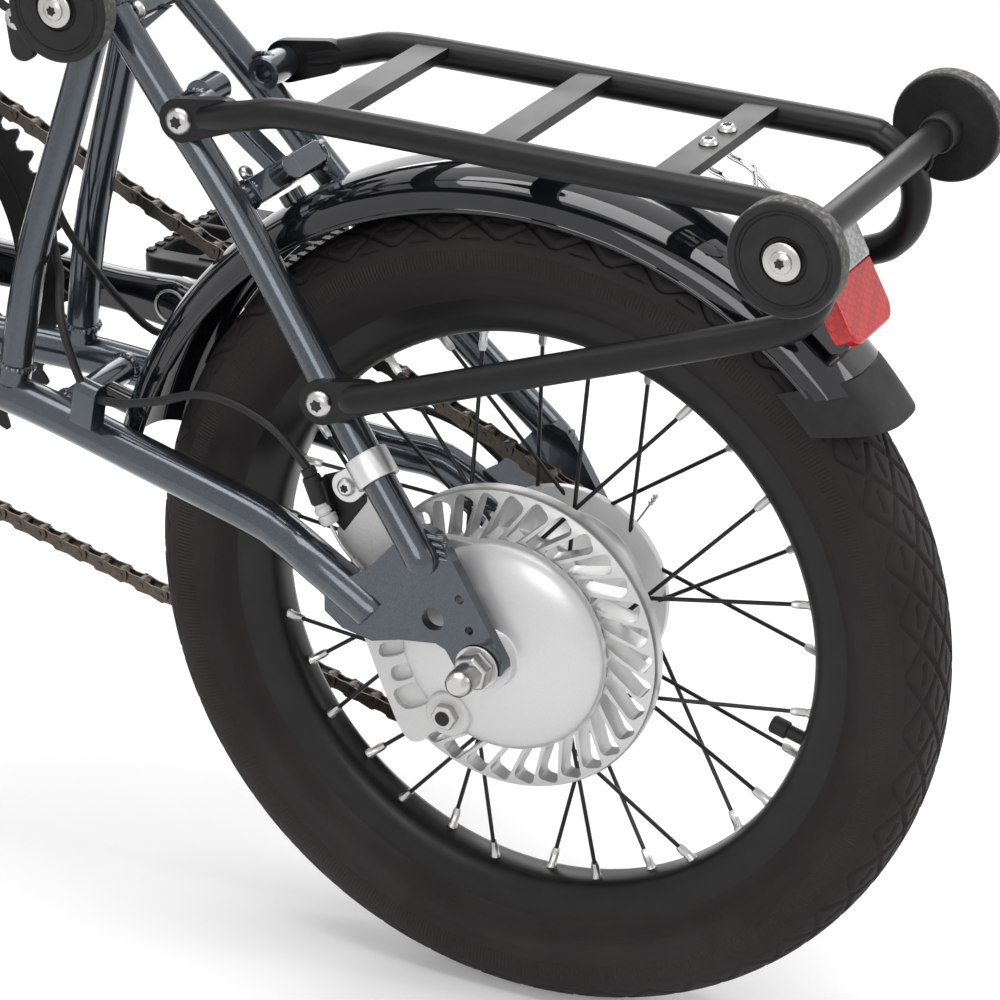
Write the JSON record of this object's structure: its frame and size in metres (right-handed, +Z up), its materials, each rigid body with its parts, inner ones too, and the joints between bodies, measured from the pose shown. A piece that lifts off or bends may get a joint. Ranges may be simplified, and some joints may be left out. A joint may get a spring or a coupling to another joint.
{
  "type": "folding electric bike",
  "caption": "Folding electric bike with small wheels, a rear frame that flips under, a rack on rollers, a hub motor, a folding beam, handlepost and pedals, and a two-legged stand.",
  "frame": {"origin": "on the floor half way between the axles, on the bike's centre plane", "axes": "+Z up, -X to the front of the bike, +Y to the drive side (right)"},
  "size_m": [1.49, 0.56, 1.0446],
  "materials": {
    "frame_paint": "metallic blue-grey gloss paint",
    "satin_black": "satin black paint",
    "gloss_black": "glossy black",
    "black_plastic": "matt black moulding",
    "rubber": "matt black rubber",
    "tyre": "brownish black tread rubber",
    "aluminium": "bare machined aluminium",
    "silver_paint": "fine silver paint",
    "steel": "plated steel",
    "chain_steel": "dark oiled chain steel",
    "red_lens": "clear red reflector lens",
    "saddle_cover": "black grained cover"
  },
  "bodies": {
    "main": {"main_frame": "frame_paint", "battery": "black_plastic"},
    "clamp_lever": {"seat_clamp_lever": "aluminium"},
    "stand": {"centre_stand": "satin_black"},
    "seat": {"seat_post": "satin_black", "saddle_base": "steel", "saddle": "saddle_cover"},
    "crank": {"crank_axle": "steel", "chainring": "satin_black", "right_crank": "satin_black", "left_crank": "satin_black"},
    "right_pedal_carrier": {"right_pedal_axle": "steel"},
    "left_pedal_carrier": {"left_pedal_axle": "steel"},
    "right_pedal_plate": {"right_pedal": "black_plastic"},
    "left_pedal_plate": {"left_pedal": "black_plastic"},
    "rear": {"rear_frame": "frame_paint", "suspension_block": "rubber", "rack": "satin_black", "rear_fender": "gloss_black", "fender_flap": "rubber", "rear_light": "red_lens", "rear_axle": "steel", "rear_brake": "silver_paint", "brake_arm_clip": "steel", "rear_brake_cable": "black_plastic", "gear_cable": "black_plastic", "chain": "chain_steel"},
    "rear_wheel": {"rear_tyre": "tyre", "rear_rim": "satin_black", "rear_hub": "silver_paint", "cooling_disc": "aluminium"},
    "sprocket": {"rear_sprocket": "steel"},
    "tensioner": {"tensioner_arm": "satin_black"},
    "pulley": {"tensioner_pulley": "black_plastic"},
    "latch": {"latch_lever": "black_plastic"},
    "left_front_roller_body": {"left_front_roller": "rubber"},
    "right_front_roller_body": {"right_front_roller": "rubber"},
    "left_rear_roller_body": {"left_rear_roller": "rubber"},
    "right_rear_roller_body": {"right_rear_roller": "rubber"},
    "front": {"front_frame": "frame_paint", "front_light": "black_plastic"},
    "hinge_lever": {"frame_hinge_lever": "satin_black"},
    "fork_assembly": {"fork": "frame_paint", "front_axle": "steel", "front_brake": "satin_black", "front_fender": "gloss_black", "handlepost_base": "satin_black"},
    "front_wheel": {"front_tyre": "tyre", "front_rim": "satin_black", "front_motor": "satin_black"},
    "post_lever": {"handlepost_lever": "aluminium"},
    "post": {"handlepost": "satin_black", "handlebar": "satin_black", "left_grip": "rubber", "right_grip": "rubber", "left_lever_bracket": "black_plastic", "right_lever_bracket": "black_plastic", "display": "black_plastic"},
    "left_lever": {"left_brake_lever": "satin_black"},
    "right_lever": {"right_brake_lever": "satin_black"}
  },
  "joints": [
    {"name": "rear_fold", "type": "hinge", "parent": "main", "child": "rear", "pos_m": [0.21, 0, 0.266], "axis": [0, -1, 0], "range_deg": [-172, 0], "deforming": ["chain", "rear_brake_cable", "gear_cable"]},
    {"name": "frame_fold", "type": "hinge", "parent": "main", "child": "front", "pos_m": [-0.115, -0.045, 0.57], "axis": [0, 0, 1], "range_deg": [0, 160]},
    {"name": "frame_hinge_lever_swing", "type": "hinge", "parent": "front", "child": "hinge_lever", "pos_m": [-0.137, 0.0415, 0.57], "axis": [0, 0, 1], "range_deg": [0, 120]},
    {"name": "stand_swing", "type": "hinge", "parent": "main", "child": "stand", "pos_m": [-0.095, 0, 0.52], "axis": [0, -1, 0], "range_deg": [-80, 0]},
    {"name": "seat_height", "type": "slide", "parent": "main", "child": "seat", "axis": [0.309, 0, 0.9511], "range_m": [-0.175, 0]},
    {"name": "seat_clamp_lever_swing", "type": "hinge", "parent": "main", "child": "clamp_lever", "pos_m": [0.25142, -0.029, 0.65073], "axis": [-0.309, 0, -0.9511], "range_deg": [0, 110]},
    {"name": "crank_spin", "type": "hinge", "parent": "main", "child": "crank", "pos_m": [0.136, 0, 0.2955], "axis": [0, -1, 0], "continuous": true},
    {"name": "right_pedal_spin", "type": "hinge", "parent": "crank", "child": "right_pedal_carrier", "pos_m": [0.3006, 0.095, 0.28399], "axis": [0, -1, 0], "continuous": true},
    {"name": "left_pedal_spin", "type": "hinge", "parent": "crank", "child": "left_pedal_carrier", "pos_m": [-0.0286, -0.095, 0.30701], "axis": [0, -1, 0], "continuous": true},
    {"name": "right_pedal_fold", "type": "hinge", "parent": "right_pedal_carrier", "child": "right_pedal_plate", "pos_m": [0.3006, 0.104, 0.28399], "axis": [1, 0, 0], "range_deg": [0, 90]},
    {"name": "left_pedal_fold", "type": "hinge", "parent": "left_pedal_carrier", "child": "left_pedal_plate", "pos_m": [-0.0286, -0.104, 0.30701], "axis": [-1, 0, 0], "range_deg": [0, 90]},
    {"name": "rear_wheel_spin", "type": "hinge", "parent": "rear", "child": "rear_wheel", "pos_m": [0.545, 0, 0.2], "axis": [0, -1, 0], "continuous": true},
    {"name": "sprocket_spin", "type": "hinge", "parent": "rear", "child": "sprocket", "pos_m": [0.545, 0, 0.2], "axis": [0, -1, 0], "continuous": true},
    {"name": "tensioner_swing", "type": "hinge", "parent": "rear", "child": "tensioner", "pos_m": [0.51, 0.056, 0.204], "axis": [0, 1, 0], "range_deg": [0, 10], "stiffness_Nm_per_rad": 1, "springref_deg": -17.19},
    {"name": "pulley_spin", "type": "hinge", "parent": "tensioner", "child": "pulley", "pos_m": [0.46, 0.047, 0.115], "axis": [0, -1, 0], "continuous": true},
    {"name": "latch_swing", "type": "hinge", "parent": "rear", "child": "latch", "pos_m": [0.295, -0.0405, 0.466], "axis": [0, 1, 0], "range_deg": [0, 35]},
    {"name": "left_front_roller_spin", "type": "hinge", "parent": "rear", "child": "left_front_roller_body", "pos_m": [0.3315, -0.056, 0.4815], "axis": [0, -1, 0], "continuous": true},
    {"name": "right_front_roller_spin", "type": "hinge", "parent": "rear", "child": "right_front_roller_body", "pos_m": [0.3315, 0.056, 0.4815], "axis": [0, -1, 0], "continuous": true},
    {"name": "left_rear_roller_spin", "type": "hinge", "parent": "rear", "child": "left_rear_roller_body", "pos_m": [0.7, -0.0906, 0.432], "axis": [0, -1, 0], "continuous": true},
    {"name": "right_rear_roller_spin", "type": "hinge", "parent": "rear", "child": "right_rear_roller_body", "pos_m": [0.7, 0.0906, 0.432], "axis": [0, -1, 0], "continuous": true},
    {"name": "steering", "type": "hinge", "parent": "front", "child": "fork_assembly", "pos_m": [-0.42716, 0, 0.46559], "axis": [0.309, 0, 0.9511], "range_deg": [-40, 40]},
    {"name": "front_wheel_spin", "type": "hinge", "parent": "fork_assembly", "child": "front_wheel", "pos_m": [-0.545, 0, 0.2], "axis": [0, -1, 0], "continuous": true},
    {"name": "handlepost_fold", "type": "hinge", "parent": "fork_assembly", "child": "post", "pos_m": [-0.37548, 0.01838, 0.68415], "axis": [-0.6725, -0.7071, 0.2185], "range_deg": [0, 150]},
    {"name": "handlepost_lever_swing", "type": "hinge", "parent": "fork_assembly", "child": "post_lever", "pos_m": [-0.34602, -0.01909, 0.65355], "axis": [0.6725, 0.7071, -0.2185], "range_deg": [0, 100]},
    {"name": "left_brake_pull", "type": "hinge", "parent": "post", "child": "left_lever", "pos_m": [-0.28114, -0.138, 1.01857], "axis": [0.309, 0, 0.9511], "range_deg": [0, 15], "stiffness_Nm_per_rad": 1.5, "springref_deg": -11.46},
    {"name": "right_brake_pull", "type": "hinge", "parent": "post", "child": "right_lever", "pos_m": [-0.28114, 0.138, 1.01857], "axis": [-0.309, 0, -0.9511], "range_deg": [0, 15], "stiffness_Nm_per_rad": 1.5, "springref_deg": -11.46}
  ],
  "couplings": [
    {"joint": "sprocket_spin", "follows": "crank_spin", "ratio": 3.5},
    {"joint": "pulley_spin", "follows": "crank_spin", "ratio": 6.2222}
  ]
}
